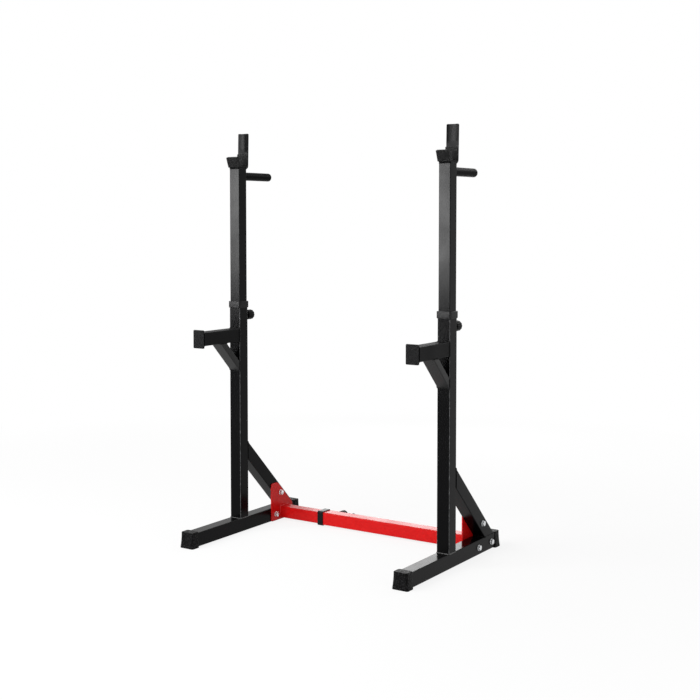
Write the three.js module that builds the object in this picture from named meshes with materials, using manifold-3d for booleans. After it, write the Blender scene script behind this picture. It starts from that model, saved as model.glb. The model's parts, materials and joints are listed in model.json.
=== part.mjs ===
// Adjustable squat stand: two uprights on floor feet, joined by a telescopic crossbar.
// Millimetres, +Z up, +Y to the rear, origin on the floor under the middle of the footprint.
// One stand is drawn with +X pointing outwards; the left stand is its mirror image.

import * as THREE from 'three';
import { mergeVertices } from 'three/addons/utils/BufferGeometryUtils.js';
import Module from 'manifold-3d';

const wasm = await Module();
wasm.setup();

// Arrangement: distance between the stands, and the upright's place ahead of the foot's middle
const standSpacing = 920;
const uprightSetForward = 22.5;

// Clearances and cuts
const fitGap = 0.3;
const slideGap = 0.5;
const boltGap = 0.4;
const overrun = 3;

// Square tubes: the posts and the crossbar telescope with the same pair of sizes
const outerTubeSide = 50;
const tubeWall = 1.5;
const tubeCorner = 3;

// Feet, whose tube stands a little higher than it is wide
const footTubeLength = 666;
const footTubeHeight = 53;
const capSole = 2;
const capTopWall = 4.2;
const capEndWall = 3.7;
const capSideWall = 2;
const capGrip = 34;
const capSideFlare = 4.5;
const capEndFlare = 3;
const capCorner = 7;
const capEdge = 1.5;

// Uprights and the collars on the mouths of the outer tubes
const uprightLength = 842.7;
const collarHeight = 25;
const collarWall = 3.2;
const collarLip = 2;
const collarEdge = 1.5;

// Upper posts and their row of height holes
const postLength = 800;
const postShown = 511.7;
const holePitch = 50;
const heightStepsUp = 3;
const heightStepsDown = 9;

// Rear brace: where its axis meets the top of the foot, ahead of the foot tube's rear end
const braceFromFootEnd = 71;

// Spotter arm below the upright's mouth, its end plate and its brace
const armDrop = 127.3;
const armLength = 209;
const armPlateHeight = 68.5;
const armPlateThickness = 5;
const armPlateCorner = 4;
const armPlateEdge = 0.8;
const armBraceReach = 95;
const armBraceDepth = 25;

// Bar hook: a strap bent into a front lip, a floor and a rear horn, which lean out by angles
// in degrees. The lip's inner radius is the one left inside the liner.
const hookWidth = 47;
const strapThickness = 6;
const strapCorner = 3.5;
const lipLength = 36;
const lipAngle = 20;
const lipInnerRadius = 0.5;
const lipBendFromPostFront = 7;
const hookFloorLength = 36.5;
const hornBendRadius = 11;
const hornLength = 123;
const hornAngle = 1.5;
const hornCrown = 3.5;
const crownRamp = 20;

// Rubber liner on the hook
const linerThickness = 2.5;
const linerSideWall = 1.5;
const linerUpHorn = 44;

// Dip handle
const handleDrop = 27.5;
const handleTubeDiameter = 25;
const handleTubeLength = 168;
const gripWall = 3;
const gripEndWall = 7;
const gripRootInset = 3;

// Spring-loaded lock pins: one below each upright's mouth, one beside the crossbar's mouth
const heightPinDrop = 54.3;
const widthPinInset = 58;
const pinDiameter = 10;
const pinPastWall = 3;
const pinTipChamfer = 1.5;
const pinFlangeThickness = 2.5;
const pinShaftDiameter = 8;
const barrelNutSize = 22;
const barrelNutLength = 9;
const barrelLength = 27;
const barrelBore = 13.4;
const barrelWall = 2.3;
const barrelEndWall = 3;
const springWire = 1.2;
const springTurns = 5;
const knobDiameter = 38;
const knobStandOff = 18;
const knobFloorGap = 5;
const knobBackWall = 20;
const knobSocketDepth = 12;
const knobEdge = 3;
const knobRecessGap = 1;
const fluteDepth = 1.3;
const fluteCount = 12;

// Clamp screw beside the width lock
const clampSpacing = 50;
const clampNutSize = 17;
const clampNutLength = 8;
const clampScrewDiameter = 10;
const clampKnobDiameter = 32;
const clampKnobStandOff = 24;
const clampKnobLength = 20;
const clampKnobEdge = 3;
const lobeDepth = 2.5;
const lobeCount = 6;

// Gusset plate, set against the rear foot cap, and the bolts through it
const gussetThickness = 4;
const gussetCapGap = 11.5;
const gussetHeight = 153.7;
const gussetBraceInset = 6.2;
const gussetCorner = 8;
const rearBoltInset = 12;
const baseBoltSpacing = 100;
const frontBoltInset = 30;
const braceBoltForward = 20;

// Crossbar, midway between the base bolts and a little above the foot tube's axis
const crossbarRise = 4.2;
const crossbarOuterLength = 671;
const crossbarInnerLength = 560;
const widthStepsEachWay = 3;

// Bolts and nuts
const boltDiameter = 10;
const hexSize = 17;
const boltHeadHeight = 6.4;
const nutHeight = 8;
const washerDiameter = 21;
const washerThickness = 2;
const boltPastNut = 3;

// Facets
const cornerSteps = 3;
const edgeSteps = 2;
const capSteps = 4;
const roundSteps = 20;
const holeSteps = 10;
const bendSteps = 5;
const bandSteps = 6;
const stepsPerFlute = 4;
const springSteps = 8;
const springSides = 5;

// Tubes, heights and set-backs worked out from the sizes above
const halfTube = outerTubeSide / 2;
const innerTubeSide = outerTubeSide - 2 * tubeWall - 2 * slideGap;
const innerTubeCorner = tubeCorner - slideGap;
const footHalfLength = footTubeLength / 2;
const footBottom = capSole + fitGap;
const footAxisHeight = footBottom + footTubeHeight / 2;
const footTop = footBottom + footTubeHeight;
const uprightY = -uprightSetForward;
const uprightFront = uprightY - halfTube;
const uprightRear = uprightY + halfTube;
const uprightTop = footTop + fitGap + uprightLength;
const armAxisHeight = uprightTop - armDrop;
const heightPinHeight = uprightTop - heightPinDrop;
const postBottomHeight = uprightTop + postShown - postLength;
const braceReach = footHalfLength - braceFromFootEnd - uprightRear;

// The gusset plate, the bolts through it and the crossbar follow one another from the foot cap
const gussetInnerX = -(halfTube + fitGap + gussetThickness);
const gussetRear = footHalfLength - capGrip - gussetCapGap;
const rearBoltY = gussetRear - rearBoltInset;
const frontBoltY = rearBoltY - baseBoltSpacing;
const gussetFront = frontBoltY - frontBoltInset;
const crossbarY = (frontBoltY + rearBoltY) / 2;
const crossbarHeight = footAxisHeight + crossbarRise;
const crossbarStartX = gussetInnerX - fitGap;
const braceBoltY = crossbarY - braceBoltForward;
const braceAxisSum = uprightRear + footTop + braceReach;
const braceBoltHeight = braceAxisSum - braceBoltY;

// Holes and seats
const pinHoleDiameter = pinDiameter + 2 * boltGap;
const clampHoleDiameter = clampScrewDiameter + 2 * boltGap;
const boltHoleDiameter = boltDiameter + 2 * boltGap;
const barrelDiameter = barrelBore + 2 * barrelWall;
const strapClear = strapThickness / 2 + fitGap;
const linerSkin = strapClear + linerThickness;

// Finishes
const blackPaint = new THREE.MeshStandardMaterial({ color: 0x1c1c1e, roughness: 0.35, metalness: 0.3 });
const redPaint = new THREE.MeshStandardMaterial({ color: 0xd0141a, roughness: 0.3, metalness: 0.3 });
const rubber = new THREE.MeshStandardMaterial({ color: 0x161617, roughness: 0.85, metalness: 0 });
const plastic = new THREE.MeshStandardMaterial({ color: 0x222224, roughness: 0.5, metalness: 0 });
const zinc = new THREE.MeshStandardMaterial({ color: 0xd4d6d8, roughness: 0.3, metalness: 1 });
const springSteel = new THREE.MeshStandardMaterial({ color: 0x8c8f93, roughness: 0.35, metalness: 1 });

// Solids: a closed geometry becomes a manifold for cutting and joining, and goes back again
function toSolid(geometry) {
  const bare = geometry.clone();
  bare.deleteAttribute('normal');
  bare.deleteAttribute('uv');
  const merged = mergeVertices(bare);
  return new wasm.Manifold(new wasm.Mesh({
    numProp: 3,
    vertProperties: new Float32Array(merged.attributes.position.array),
    triVerts: new Uint32Array(merged.index.array),
  }));
}

function toGeometry(solid) {
  const mesh = solid.getMesh();
  const geometry = new THREE.BufferGeometry();
  geometry.setAttribute('position', new THREE.BufferAttribute(mesh.vertProperties, 3));
  geometry.setIndex(new THREE.BufferAttribute(mesh.triVerts, 1));
  geometry.computeVertexNormals();
  return geometry;
}

function cut(geometry, ...cutters) {
  return toGeometry(cutters.reduce((solid, cutter) => solid.subtract(toSolid(cutter)), toSolid(geometry)));
}

function join(geometry, ...others) {
  return toGeometry(others.reduce((solid, other) => solid.add(toSolid(other)), toSolid(geometry)));
}

// Shapes are drawn in XY and extruded along Z, then turned to run along another axis
function alongY(geometry) {
  return geometry.rotateX(-Math.PI / 2);
}

function alongX(geometry) {
  const yToZ = new THREE.Vector3(0, 0, 1);
  const turn = new THREE.Matrix4().makeBasis(new THREE.Vector3(0, 1, 0), yToZ, new THREE.Vector3(1, 0, 0));
  return geometry.applyMatrix4(turn);
}

// Outlines, all drawn anticlockwise
function roundedRect(width, height, radius) {
  const x = width / 2 - radius;
  const y = height / 2 - radius;
  const centres = [[x, y], [-x, y], [-x, -y], [x, -y]];
  return new THREE.Shape(centres.flatMap(([cx, cy], quarter) => {
    const start = quarter * Math.PI / 2;
    return new THREE.EllipseCurve(cx, cy, radius, radius, start, start + Math.PI / 2).getPoints(cornerSteps);
  }));
}

function roundedPolygon(corners, radius) {
  return new THREE.Shape(corners.flatMap((corner, i) => {
    const towards = (other) => other.clone().sub(corner).setLength(radius).add(corner);
    const start = towards(corners.at(i - 1));
    const end = towards(corners[(i + 1) % corners.length]);
    return new THREE.QuadraticBezierCurve(start, corner, end).getPoints(cornerSteps);
  }));
}

function wavyCircle(diameter, depth, count) {
  const total = count * stepsPerFlute;
  const points = Array.from({ length: total }, (_, i) => {
    const angle = i / total * 2 * Math.PI;
    const radius = diameter / 2 - depth * (1 - Math.abs(Math.cos(angle * count / 2)));
    return new THREE.Vector2(radius * Math.cos(angle), radius * Math.sin(angle));
  });
  return new THREE.Shape(points);
}

// Basic bodies, each standing on z = 0
function prism(shape, length) {
  return new THREE.ExtrudeGeometry(shape, { depth: length, bevelEnabled: false });
}

function softPrism(shape, length, edge, steps = 1) {
  const geometry = new THREE.ExtrudeGeometry(shape, {
    steps,
    depth: length - 2 * edge,
    bevelThickness: edge,
    bevelSize: edge,
    bevelOffset: -edge,
    bevelSegments: edgeSteps,
  });
  return geometry.translate(0, 0, edge);
}

function rod(diameter, length, sides = roundSteps) {
  const geometry = new THREE.CylinderGeometry(diameter / 2, diameter / 2, length, sides);
  return geometry.rotateX(Math.PI / 2).translate(0, 0, length / 2);
}

function hexRod(acrossFlats, length) {
  return rod(acrossFlats * 2 / Math.sqrt(3), length, 6);
}

function turned(outline) {
  const points = outline.map(([radius, height]) => new THREE.Vector2(radius, height));
  return new THREE.LatheGeometry(points, roundSteps).rotateX(Math.PI / 2);
}

function boxTube(width, depth, corner, length) {
  const shape = roundedRect(width, depth, corner);
  shape.holes.push(roundedRect(width - 2 * tubeWall, depth - 2 * tubeWall, corner - tubeWall / 2));
  return prism(shape, length);
}

// Cutters
function rearWallHole(side, x, z, diameter = pinHoleDiameter) {
  const hole = alongY(rod(diameter, tubeWall + 2 * overrun, holeSteps));
  return hole.translate(x, side / 2 - tubeWall - overrun, z);
}

function crossBoltHole(y, z) {
  const length = outerTubeSide + 2 * (gussetThickness + overrun);
  return alongX(rod(boltHoleDiameter, length, holeSteps)).translate(-length / 2, y, z);
}

// Feet
function footTube() {
  const tube = alongY(boxTube(outerTubeSide, footTubeHeight, tubeCorner, footTubeLength));
  return cut(tube.translate(0, -footHalfLength, 0), crossBoltHole(frontBoltY, 0), crossBoltHole(rearBoltY, 0));
}

// The cap's inner end is at y = 0; its sides and closed end spread towards the floor
function footCap() {
  const width = outerTubeSide + 2 * (fitGap + capSideWall);
  const length = capGrip + fitGap + capEndWall;
  const height = footTop + fitGap + capTopWall;
  const body = softPrism(roundedRect(width, length, capCorner), height, capEdge, capSteps);
  body.translate(0, length / 2, 0);
  const points = body.attributes.position;
  for (let i = 0; i < points.count; i++) {
    const spread = (1 - points.getZ(i) / height) ** 2;
    points.setX(i, points.getX(i) * (1 + spread * 2 * capSideFlare / width));
    points.setY(i, points.getY(i) * (1 + spread * capEndFlare / length));
  }
  const opening = roundedRect(outerTubeSide + 2 * fitGap, footTubeHeight + 2 * fitGap, tubeCorner);
  const pocket = alongY(prism(opening, capGrip + fitGap + overrun));
  return cut(body, pocket.translate(0, -overrun, footAxisHeight));
}

// Uprights, posts and collars
function lowerUpright() {
  const tube = boxTube(outerTubeSide, outerTubeSide, tubeCorner, uprightLength);
  return cut(tube, rearWallHole(outerTubeSide, 0, heightPinHeight - footTop - fitGap));
}

function tubeCollar() {
  const side = outerTubeSide + 2 * (fitGap + collarWall);
  const pocketSide = outerTubeSide + 2 * fitGap;
  const mouthSide = innerTubeSide + 2 * slideGap;
  const pocket = prism(roundedRect(pocketSide, pocketSide, tubeCorner), collarHeight - collarLip + overrun);
  const mouth = prism(roundedRect(mouthSide, mouthSide, innerTubeCorner), collarHeight + overrun);
  const body = softPrism(roundedRect(side, side, tubeCorner + collarWall), collarHeight, collarEdge);
  return cut(body, pocket.translate(0, 0, -overrun), mouth);
}

function upperPost() {
  const firstHole = heightPinHeight - postBottomHeight - heightStepsUp * holePitch;
  const holes = Array.from({ length: heightStepsUp + heightStepsDown + 1 }, (_, i) =>
    rearWallHole(innerTubeSide, 0, firstHole + i * holePitch));
  return cut(boxTube(innerTubeSide, innerTubeSide, innerTubeCorner, postLength), ...holes);
}

// A tube laid across the corner between two square faces, y = 0 and z = 0, and mitred to both
function cornerBrace(depth, reach) {
  const length = 2 * reach;
  const tube = boxTube(outerTubeSide, depth, tubeCorner, length);
  tube.translate(0, 0, -length / 2).rotateX(Math.PI / 4).translate(0, reach / 2, reach / 2);
  const room = 2 * length;
  const beyond = new THREE.BoxGeometry(room, room, room);
  const behindFace = beyond.clone().translate(0, fitGap - room / 2, 0);
  const underFace = beyond.clone().translate(0, 0, fitGap - room / 2);
  return cut(tube, behindFace, underFace);
}

function rearBrace() {
  const hole = crossBoltHole(braceBoltY - uprightRear, braceBoltHeight - footTop);
  return cut(cornerBrace(outerTubeSide, braceReach), hole);
}

function armEndPlate() {
  const plate = softPrism(roundedRect(outerTubeSide, armPlateHeight, armPlateCorner), armPlateThickness,
    armPlateEdge);
  return alongY(plate);
}

// Gusset plate in stand coordinates: its sloping edge follows the brace's rear face
function gussetPlate() {
  const top = footBottom + gussetHeight;
  const slopeSum = braceAxisSum + (halfTube - gussetBraceInset) * Math.SQRT2;
  const outline = roundedPolygon([
    new THREE.Vector2(gussetFront, footBottom),
    new THREE.Vector2(gussetRear, footBottom),
    new THREE.Vector2(gussetRear, slopeSum - gussetRear),
    new THREE.Vector2(slopeSum - top, top),
    new THREE.Vector2(gussetFront, top),
  ], gussetCorner);
  const plate = alongX(prism(outline, gussetThickness)).translate(gussetInnerX, 0, 0);
  const holes = boltPlaces.map(([, y, z]) => crossBoltHole(y, z));
  return cut(plate, ...holes);
}

const boltPlaces = [
  ['base_front', frontBoltY, footAxisHeight],
  ['base_rear', rearBoltY, footAxisHeight],
  ['brace', braceBoltY, braceBoltHeight],
];

// Bolts seat on z = 0 with the head above and the shank below
function hexBolt() {
  const grip = outerTubeSide + 2 * fitGap + gussetThickness + fitGap;
  const shank = grip + washerThickness + nutHeight + boltPastNut;
  const head = hexRod(hexSize, boltHeadHeight).translate(0, 0, washerThickness);
  const threaded = rod(boltDiameter, shank + washerThickness, holeSteps).translate(0, 0, -shank);
  return join(rod(washerDiameter, washerThickness), head, threaded);
}

function hexNut() {
  const nut = hexRod(hexSize, nutHeight).translate(0, 0, washerThickness);
  const bore = rod(boltDiameter + 2 * fitGap, washerThickness + nutHeight + 2 * overrun, holeSteps);
  return cut(join(rod(washerDiameter, washerThickness), nut), bore.translate(0, 0, -overrun));
}

// The hook strap's centre line in (y, z), from the top of the lip round to the top of the horn.
// Each station has a normal that points into the hook and a crown, the strap's hollow there.
function hookPath() {
  const lipLean = THREE.MathUtils.degToRad(lipAngle);
  const hornLean = THREE.MathUtils.degToRad(hornAngle);
  const centre = new THREE.Vector2();
  let heading = lipLean - Math.PI / 2;

  const station = (crown = 0) => ({
    centre: centre.clone(),
    normal: new THREE.Vector2(-Math.sin(heading), Math.cos(heading)),
    crown,
  });
  const run = (length, crown) => {
    centre.add(new THREE.Vector2(length * Math.cos(heading), length * Math.sin(heading)));
    return station(crown);
  };
  const bend = (radius, angle) => Array.from({ length: bendSteps }, () => {
    const turn = angle / bendSteps;
    heading += turn / 2;
    run(2 * radius * Math.sin(turn / 2));
    heading += turn / 2;
    return station();
  });

  const lip = [station(), run(lipLength)];
  const lipBend = bend(linerSkin + lipInnerRadius, Math.PI / 2 - lipLean);
  const floorStart = centre.clone();
  const floorEnd = run(hookFloorLength);
  const saddle = [...lipBend, floorEnd, ...bend(hornBendRadius, Math.PI / 2 - hornLean), run(linerUpHorn)];
  const ramp = Array.from({ length: bendSteps }, (_, i) =>
    run(crownRamp / bendSteps, hornCrown * Math.sin((i + 1) / bendSteps * Math.PI / 2) ** 2));
  const horn = [...ramp, run(hornLength - linerUpHorn - crownRamp, hornCrown)];

  const seat = new THREE.Vector2(lipBendFromPostFront - innerTubeSide / 2, strapThickness / 2).sub(floorStart);
  for (const place of [...lip, ...saddle, ...horn]) place.centre.add(seat);
  return { lip, saddle, horn };
}

// Stations that round the two corners of the strap at one of its ends
function roundedEnd(station, outward) {
  return Array.from({ length: cornerSteps + 1 }, (_, i) => {
    const angle = i / cornerSteps * Math.PI / 2;
    return {
      ...station,
      centre: station.centre.clone().addScaledVector(outward, strapCorner * (Math.sin(angle) - 1)),
      halfWidth: hookWidth / 2 - strapCorner * (1 - Math.cos(angle)),
    };
  });
}

function upStrap({ normal }, sense) {
  return new THREE.Vector2(-sense * normal.y, sense * normal.x);
}

function barHook() {
  const { lip, saddle, horn } = hookPath();
  const last = horn.at(-1);
  const full = [lip[1], ...saddle, ...horn.slice(0, -1)].map((place) => ({ ...place, halfWidth: hookWidth / 2 }));
  const lipTop = roundedEnd(lip[0], upStrap(lip[0], 1)).reverse();
  return bentStrap([...lipTop, ...full, ...roundedEnd(last, upStrap(last, -1))]);
}

// A solid strap through the stations: rows of points on its inner and its outer face
function bentStrap(stations) {
  const row = bandSteps + 1;
  const positions = [];
  for (const { centre, normal, crown, halfWidth } of stations) {
    for (const face of [strapThickness / 2, -strapThickness / 2]) {
      for (let i = 0; i < row; i++) {
        const across = 2 * i / bandSteps - 1;
        const point = centre.clone().addScaledVector(normal, face - crown * (1 - across * across));
        positions.push(across * halfWidth, point.x, point.y);
      }
    }
  }
  const index = [];
  const quad = (a, b, c, d) => index.push(a, c, b, a, d, c);
  const inner = (s, i) => 2 * row * s + i;
  const outer = (s, i) => 2 * row * s + row + i;
  const last = stations.length - 1;
  for (let s = 0; s < last; s++) {
    for (let i = 0; i < bandSteps; i++) {
      quad(inner(s, i), inner(s + 1, i), inner(s + 1, i + 1), inner(s, i + 1));
      quad(outer(s, i), outer(s, i + 1), outer(s + 1, i + 1), outer(s + 1, i));
    }
    quad(inner(s, 0), outer(s, 0), outer(s + 1, 0), inner(s + 1, 0));
    quad(inner(s, bandSteps), inner(s + 1, bandSteps), outer(s + 1, bandSteps), outer(s, bandSteps));
  }
  for (let i = 0; i < bandSteps; i++) {
    quad(inner(0, i), inner(0, i + 1), outer(0, i + 1), outer(0, i));
    quad(inner(last, i), outer(last, i), outer(last, i + 1), inner(last, i + 1));
  }
  const geometry = new THREE.BufferGeometry();
  geometry.setAttribute('position', new THREE.Float32BufferAttribute(positions, 3));
  geometry.setIndex(index);
  geometry.computeVertexNormals();
  return geometry;
}

// Liner: a skin on the hook's floor and horn that becomes a closed sleeve over the lip
function hookLiner() {
  const { lip, saddle } = hookPath();
  const [lipTop, lipFoot] = lip;
  const covered = [lipFoot, ...saddle];
  const up = upStrap(lipTop, 1);
  const offset = ({ centre, normal }, distance, rise = 0) =>
    centre.clone().addScaledVector(normal, distance).addScaledVector(up, rise);
  const topUp = fitGap + linerThickness;
  const outline = new THREE.Shape([
    offset(lipTop, linerSkin, topUp),
    ...covered.map((place) => offset(place, linerSkin)),
    ...covered.reverse().map((place) => offset(place, strapClear)),
    offset(lipFoot, -linerSkin),
    offset(lipTop, -linerSkin, topUp),
  ]);
  const channel = new THREE.Shape([
    offset(lipTop, strapClear, fitGap),
    offset(lipFoot, strapClear, -overrun),
    offset(lipFoot, -strapClear, -overrun),
    offset(lipTop, -strapClear, fitGap),
  ]);
  const channelWidth = hookWidth + 2 * fitGap;
  const linerWidth = channelWidth + 2 * linerSideWall;
  const body = alongX(prism(outline, linerWidth)).translate(-linerWidth / 2, 0, 0);
  return cut(body, alongX(prism(channel, channelWidth)).translate(-channelWidth / 2, 0, 0));
}

// Dip handle, from the post's rear face
function handleTube() {
  const bore = rod(handleTubeDiameter - 2 * tubeWall, handleTubeLength + 2 * overrun);
  return alongY(cut(rod(handleTubeDiameter, handleTubeLength), bore.translate(0, 0, -overrun)));
}

function handleGrip() {
  const boreDiameter = handleTubeDiameter + 2 * fitGap;
  const radius = boreDiameter / 2 + gripWall;
  const boreDepth = handleTubeLength + fitGap - gripRootInset;
  const domeHeight = radius / 2;
  const domeStart = boreDepth + gripEndWall - domeHeight;
  const dome = Array.from({ length: bendSteps }, (_, i) => {
    const angle = i / bendSteps * Math.PI / 2;
    return [radius * Math.cos(angle), domeStart + domeHeight * Math.sin(angle)];
  });
  const body = turned([[0, 0], [radius, 0], ...dome, [0, domeStart + domeHeight]]);
  return alongY(cut(body, rod(boreDiameter, boreDepth + overrun).translate(0, 0, -overrun)));
}

// Lock pin pieces, all from y = 0 at the outer tube's face, with the knob outwards
const flangeStart = 2 * fitGap;
const flangeEnd = flangeStart + pinFlangeThickness;
const barrelEnd = fitGap + barrelLength;
const knobFloor = barrelEnd + knobFloorGap;
const knobLength = knobFloor + knobBackWall - knobStandOff;

function pinBarrel() {
  const body = join(hexRod(barrelNutSize, barrelNutLength), rod(barrelDiameter, barrelLength));
  const bore = rod(barrelBore, barrelLength - barrelEndWall + overrun).translate(0, 0, -overrun);
  const shaftHole = rod(pinShaftDiameter + 2 * fitGap, barrelLength + overrun);
  return alongY(cut(body, bore, shaftHole).translate(0, 0, fitGap));
}

function lockPin() {
  const tip = -(tubeWall + slideGap + tubeWall + pinPastWall);
  const shaftEnd = knobFloor + knobSocketDepth - fitGap;
  const radius = pinDiameter / 2;
  const flangeRadius = barrelBore / 2 - boltGap;
  return alongY(turned([
    [0, tip],
    [radius - pinTipChamfer, tip],
    [radius, tip + pinTipChamfer],
    [radius, flangeStart],
    [flangeRadius, flangeStart],
    [flangeRadius, flangeEnd],
    [pinShaftDiameter / 2, flangeEnd],
    [pinShaftDiameter / 2, shaftEnd],
    [0, shaftEnd],
  ]));
}

class Helix extends THREE.Curve {
  constructor(radius, length, turns) {
    super();
    Object.assign(this, { radius, length, turns });
  }

  getPoint(t, target = new THREE.Vector3()) {
    const angle = 2 * Math.PI * this.turns * t;
    return target.set(this.radius * Math.cos(angle), this.radius * Math.sin(angle), this.length * t);
  }
}

function pinSpring() {
  const start = flangeEnd + fitGap + springWire / 2;
  const end = barrelEnd - barrelEndWall - fitGap - springWire / 2;
  const radius = (pinShaftDiameter + barrelBore) / 4;
  const wire = new THREE.Shape(Array.from({ length: springSides }, (_, i) => {
    const angle = i / springSides * 2 * Math.PI;
    return new THREE.Vector2(springWire / 2 * Math.cos(angle), springWire / 2 * Math.sin(angle));
  }));
  const geometry = new THREE.ExtrudeGeometry(wire, {
    steps: springTurns * springSteps, extrudePath: new Helix(radius, end - start, springTurns),
  });
  return alongY(geometry.translate(0, 0, start));
}

function pinKnob() {
  const outline = wavyCircle(knobDiameter, fluteDepth, fluteCount);
  const body = softPrism(outline, knobLength, knobEdge);
  const recessDepth = knobLength - knobBackWall;
  const recess = rod(barrelDiameter + 2 * knobRecessGap, recessDepth + overrun);
  const socket = rod(pinShaftDiameter + 2 * fitGap, recessDepth + knobSocketDepth + overrun, holeSteps);
  const hollow = cut(body, recess.translate(0, 0, -overrun), socket.translate(0, 0, -overrun));
  return alongY(hollow.translate(0, 0, knobStandOff));
}

function clampNut() {
  const bore = rod(clampScrewDiameter + 2 * fitGap, clampNutLength + 2 * overrun, holeSteps);
  return alongY(cut(hexRod(clampNutSize, clampNutLength), bore.translate(0, 0, -overrun)).translate(0, 0, fitGap));
}

function clampKnob() {
  const tip = -(tubeWall + slideGap - fitGap);
  const screw = rod(clampScrewDiameter, clampKnobStandOff + overrun - tip, holeSteps).translate(0, 0, tip);
  const outline = wavyCircle(clampKnobDiameter, lobeDepth, lobeCount);
  const knob = softPrism(outline, clampKnobLength, clampKnobEdge).translate(0, 0, clampKnobStandOff);
  return alongY(join(knob, screw));
}

// Crossbar tubes along X from their free ends, with holes in the rear wall
function crossbarOuterTube() {
  const tube = alongX(boxTube(outerTubeSide, outerTubeSide, tubeCorner, crossbarOuterLength));
  const clampHole = rearWallHole(outerTubeSide, widthPinInset + clampSpacing, 0, clampHoleDiameter);
  return cut(tube, rearWallHole(outerTubeSide, widthPinInset, 0), clampHole);
}

function crossbarInnerTube() {
  const plateToPlate = standSpacing + 2 * crossbarStartX;
  const plateToPin = plateToPlate - crossbarOuterLength + widthPinInset;
  const holes = Array.from({ length: 2 * widthStepsEachWay + 1 }, (_, i) =>
    rearWallHole(innerTubeSide, crossbarInnerLength - plateToPin + (i - widthStepsEachWay) * holePitch, 0));
  const tube = alongX(boxTube(innerTubeSide, innerTubeSide, innerTubeCorner, crossbarInnerLength));
  return cut(tube, ...holes);
}

// The scene: a piece is a named mesh, set at a place in its group
function piece(group, name, geometry, material, x = 0, y = 0, z = 0) {
  const mesh = new THREE.Mesh(geometry, material);
  mesh.name = name;
  mesh.position.set(x, y, z);
  group.add(mesh);
  return mesh;
}

function foot(stand, side) {
  piece(stand, `${side}_foot_tube`, footTube(), blackPaint, 0, 0, footAxisHeight);
  const capY = footHalfLength - capGrip;
  piece(stand, `${side}_foot_cap_rear`, footCap(), rubber, 0, capY, 0);
  const frontCap = piece(stand, `${side}_foot_cap_front`, footCap(), rubber, 0, -capY, 0);
  frontCap.rotation.z = Math.PI;
}

function upright(stand, side) {
  piece(stand, `${side}_lower_upright`, lowerUpright(), blackPaint, 0, uprightY, footTop + fitGap);
  const collarBottom = uprightTop + fitGap + collarLip - collarHeight;
  piece(stand, `${side}_upright_collar`, tubeCollar(), plastic, 0, uprightY, collarBottom);
  piece(stand, `${side}_rear_brace`, rearBrace(), blackPaint, 0, uprightRear, footTop);
}

function spotterArm(stand, side) {
  const tube = alongY(boxTube(outerTubeSide, outerTubeSide, tubeCorner, armLength));
  const armFront = uprightFront - fitGap - armLength;
  piece(stand, `${side}_spotter_arm`, tube, blackPaint, 0, armFront, armAxisHeight);
  const plateY = armFront - fitGap - armPlateThickness;
  piece(stand, `${side}_arm_end_plate`, armEndPlate(), blackPaint, 0, plateY, armAxisHeight);
  const brace = piece(stand, `${side}_arm_brace`, cornerBrace(armBraceDepth, armBraceReach), blackPaint,
    0, uprightFront, armAxisHeight - halfTube);
  brace.rotation.x = Math.PI;
}

function gusset(stand, side) {
  piece(stand, `${side}_gusset_plate`, gussetPlate(), redPaint);
  for (const [place, y, z] of boltPlaces) {
    piece(stand, `${side}_${place}_bolt`, alongX(hexBolt()), zinc, halfTube + fitGap, y, z);
    const nut = piece(stand, `${side}_${place}_nut`, alongX(hexNut()), zinc, crossbarStartX, y, z);
    nut.rotation.y = Math.PI;
  }
}

function post(stand, side) {
  const group = new THREE.Group();
  group.position.set(0, uprightY, postBottomHeight);
  stand.add(group);
  piece(group, `${side}_upper_post`, upperPost(), blackPaint);
  const hookHeight = postLength + fitGap;
  piece(group, `${side}_bar_hook`, barHook(), blackPaint, 0, 0, hookHeight);
  piece(group, `${side}_hook_liner`, hookLiner(), rubber, 0, 0, hookHeight);
  const handleY = innerTubeSide / 2 + fitGap;
  const handleZ = postLength - handleDrop;
  piece(group, `${side}_handle_tube`, handleTube(), blackPaint, 0, handleY, handleZ);
  piece(group, `${side}_handle_grip`, handleGrip(), rubber, 0, handleY + gripRootInset, handleZ);
}

function lock(stand, prefix, x, y, z) {
  const group = new THREE.Group();
  group.position.set(x, y, z);
  stand.add(group);
  piece(group, `${prefix}_pin_barrel`, pinBarrel(), blackPaint);
  piece(group, `${prefix}_lock_pin`, lockPin(), zinc);
  piece(group, `${prefix}_pin_spring`, pinSpring(), springSteel);
  piece(group, `${prefix}_pin_knob`, pinKnob(), plastic);
}

function buildStand(side, outward) {
  const stand = new THREE.Group();
  stand.position.x = outward * standSpacing / 2;
  stand.scale.x = outward;
  foot(stand, side);
  upright(stand, side);
  spotterArm(stand, side);
  gusset(stand, side);
  post(stand, side);
  lock(stand, side, 0, uprightRear, heightPinHeight);
  return stand;
}

function crossbarOuterHalf(stand) {
  const mouth = crossbarStartX - crossbarOuterLength;
  const rearFace = crossbarY + halfTube;
  piece(stand, 'crossbar_outer_tube', crossbarOuterTube(), redPaint, mouth, crossbarY, crossbarHeight);
  const collarX = mouth - fitGap - collarLip + collarHeight;
  const collar = piece(stand, 'crossbar_collar', alongX(tubeCollar()), plastic,
    collarX, crossbarY, crossbarHeight);
  collar.rotation.z = Math.PI;
  const pinX = mouth + widthPinInset;
  const clampX = pinX + clampSpacing;
  lock(stand, 'crossbar', pinX, rearFace, crossbarHeight);
  piece(stand, 'crossbar_clamp_nut', clampNut(), redPaint, clampX, rearFace, crossbarHeight);
  piece(stand, 'crossbar_clamp_knob', clampKnob(), plastic, clampX, rearFace, crossbarHeight);
}

function crossbarInnerHalf(stand) {
  piece(stand, 'crossbar_inner_tube', crossbarInnerTube(), redPaint,
    crossbarStartX - crossbarInnerLength, crossbarY, crossbarHeight);
}

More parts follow.
